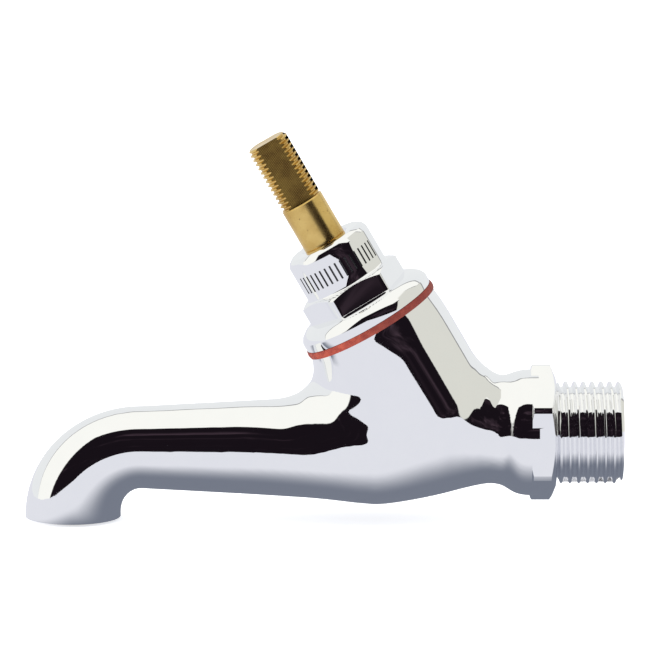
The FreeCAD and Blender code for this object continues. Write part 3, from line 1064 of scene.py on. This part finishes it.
# %% [markdown]
# ## The tent
#
# Chrome shows the room more than itself, so the room is painted with care. It is a white tent with one
# dark opening where the camera stands. The tent draws the pale band along the top of the spout, and the
# opening draws the black band below it. Seams in the tent draw the thin lines near each edge. Real cards
# and cloths could be modelled round the tap, but a painted sphere does it with two angles: one over the
# tap, one around it. Only reflections see it.

# %% Tent
middle = Vector((-0.048, 0, 0.02))
floor_z = (outlet_height - 0.6) * MM


def glowing(finish, color):
    """Paint that sends out its own colour and reflects nothing."""
    finish.set(Base_Color=(0, 0, 0, 1), Roughness=1.0, Specular_IOR_Level=0.0)
    finish.set(Emission_Color=color, Emission_Strength=1.0)


def reflected_only(made):
    """Makes an object show in reflections and nowhere else."""
    made.visible_camera = False
    made.visible_diffuse = False
    made.visible_shadow = False


tent_paint = Finish("tent_paint", (0.9, 0.9, 0.9))
east, north, up = tent_paint.axes(tent_paint.place)
degrees = 180 / math.pi
over = (north * -1.0).math("ARCTAN2", up) * degrees
around = east.math("ARCTAN2", north * -1.0) * degrees
opening = between(over, 25.5, 26.5) * between(around, -57, -55) * between(around, 57, 55.5)
side_panel = between(around, 55, 57) * between(around, 127, 125) * between(east, 0.5, 0.8)
behind = between(over, -40, -41) * (1.0 - side_panel)
seam = between(over, -42.5, -41.5) * between(over, -39, -40) * (1.0 - side_panel)
seam = seam + between(around, 124, 125) * between(around, 128, 127) * between(east, 0.5, 0.8)
streaks = tent_paint.noise(1.1, 4.0, 0.6, stretch=(0.35, 1, 2.2))
room = mix_color(tent_paint, between(streaks, 0.5, 0.78), (0.009, 0.006, 0.009), (0.07, 0.045, 0.06))
cloth = mix_color(tent_paint, behind, (1.02, 1.02, 0.96), (0.86, 0.88, 0.88))
cloth = mix_color(tent_paint, side_panel, cloth, (0.74, 0.74, 0.67))
cloth = mix_color(tent_paint, seam, cloth, (0.3, 0.3, 0.3))
glowing(tent_paint, mix_color(tent_paint, opening, cloth, room))
tent_mesh = bpy.data.meshes.new("tent")
with reworked(tent_mesh) as work:
    bmesh.ops.create_uvsphere(work, u_segments=96, v_segments=48, radius=2.5)
tent = make_object("tent", tent_mesh, [tent_paint])
tent.location = middle
reflected_only(tent)
print("tent paint:", len(tent_paint.tree.nodes), "nodes")


# %% [markdown]
# ## Floor
#
# The tap lies on white card. Plain white paint would keep a grey shadow, so the card also glows a little,
# which leaves the shadow only where the tap nearly touches it. A second sheet lies just above it and only
# reflections see that one. It darkens under the tap, as the card does in the tap's shade, and the
# underside of the tap shows it as slate.

# %% Floor
def level_sheet(name, size, height, finish):
    corners = [(-size, -size, 0), (size, -size, 0), (size, size, 0), (-size, size, 0)]
    mesh = bpy.data.meshes.new(name)
    mesh.from_pydata(corners, [], [(0, 1, 2, 3)])
    made = make_object(name, mesh, [finish])
    made.location = (middle.x, 0, height)
    return made


floor_paint = Finish("floor_paint", (0.9, 0.9, 0.91))
glow = {"Emission_Color": (1, 1, 1, 1), "Emission_Strength": 0.6}
floor_paint.set(Base_Color=(0.9, 0.9, 0.91, 1), Roughness=0.9, **glow)
level_sheet("floor", 4.0, floor_z, floor_paint)

shade_paint = Finish("shade_paint", (0.7, 0.7, 0.75))
sideways, forward, _ = shade_paint.axes(shade_paint.place)
under_tap = between(forward, -0.026, -0.008) * between(forward, 0.048, 0.02)
under_tap = under_tap * between(sideways, -0.063, -0.05) * between(sideways, 0.1, 0.075)
glowing(shade_paint, mix_color(shade_paint, under_tap, (0.8, 0.81, 0.86), (0.19, 0.21, 0.26)))
reflected_only(level_sheet("shade", 2.4, floor_z + 0.2 * MM, shade_paint))
print("floor", round(floor_z / MM, 1), "mm below the inlet axis")

# %% [markdown]
# ## Lights
#
# The tent is the chrome's light, so lamps are only for the matt parts: a large softbox overhead and a
# very wide sun. The world is white to the camera and to mirrors, and a little cooler for everything else.
# Its Light Path node tells the rays apart.

# %% World
scene = bpy.context.scene
scene.view_settings.view_transform = "Standard"
world = bpy.data.worlds.new("studio")
scene.world = world
world.use_nodes = True
world_nodes, world_links = world.node_tree.nodes, world.node_tree.links
sky = world_nodes["Background"]
sky.inputs["Color"].default_value = (0.97, 0.98, 1.0, 1)
sky.inputs["Strength"].default_value = 1.0
white = world_nodes.new("ShaderNodeBackground")
white.inputs["Color"].default_value = (1, 1, 1, 1)
path = world_nodes.new("ShaderNodeLightPath")
seen = path.outputs["Is Camera Ray"]
for ray in ("Is Glossy Ray", "Is Transmission Ray"):
    total = world_nodes.new("ShaderNodeMath")
    total.operation = "MAXIMUM"
    world_links.new(seen, total.inputs[0])
    world_links.new(path.outputs[ray], total.inputs[1])
    seen = total.outputs[0]
blend = world_nodes.new("ShaderNodeMixShader")
world_links.new(seen, blend.inputs[0])
world_links.new(sky.outputs[0], blend.inputs[1])
world_links.new(white.outputs[0], blend.inputs[2])
world_links.new(blend.outputs[0], world_nodes["World Output"].inputs["Surface"])
print("world:", len(world_nodes), "nodes")


# %% Lamps
def add_lamp(name, kind, energy):
    """Adds a lamp that neither the camera nor a mirror sees."""
    light = bpy.data.lights.new(name, kind)
    light.energy = energy
    made = bpy.data.objects.new(name, light)
    scene.collection.objects.link(made)
    made.visible_camera = False
    made.visible_glossy = False
    return made


overhead = add_lamp("overhead", "AREA", 2.5)
overhead.data.shape = "RECTANGLE"
overhead.data.size, overhead.data.size_y = 1.2, 0.9
overhead.data.color = (1, 0.99, 0.96)
overhead.location = (middle.x, -0.1, 1.0)
overhead.rotation_euler = (middle - overhead.location).to_track_quat("-Z", "Y").to_euler()
fill = add_lamp("fill", "SUN", 0.6)
fill.data.angle = math.radians(70)
print("lamps:", [lamp.name for lamp in bpy.data.lights])

# %% [markdown]
# ## Camera
#
# A long lens from one metre, a little above the tap, so that the tap hardly tapers with distance. A focal
# length would have to be found by trial. Here the width of the view at the target is set, and the lens
# follows.

# %% Camera
camera_data = bpy.data.cameras.new("camera")
camera = bpy.data.objects.new("camera", camera_data)
scene.collection.objects.link(camera)
elevation = math.radians(11.0)
distance = 1.0
target = Vector((-0.0473, 0, 0.0224))
camera.location = target + distance * Vector((0, -math.cos(elevation), math.sin(elevation)))
camera.rotation_euler = (target - camera.location).to_track_quat("-Z", "Y").to_euler()
camera_data.sensor_width = 36.0
view_width = 0.1329
camera_data.lens = camera_data.sensor_width * distance / view_width
scene.camera = camera
print("lens", round(camera_data.lens, 1), "mm")
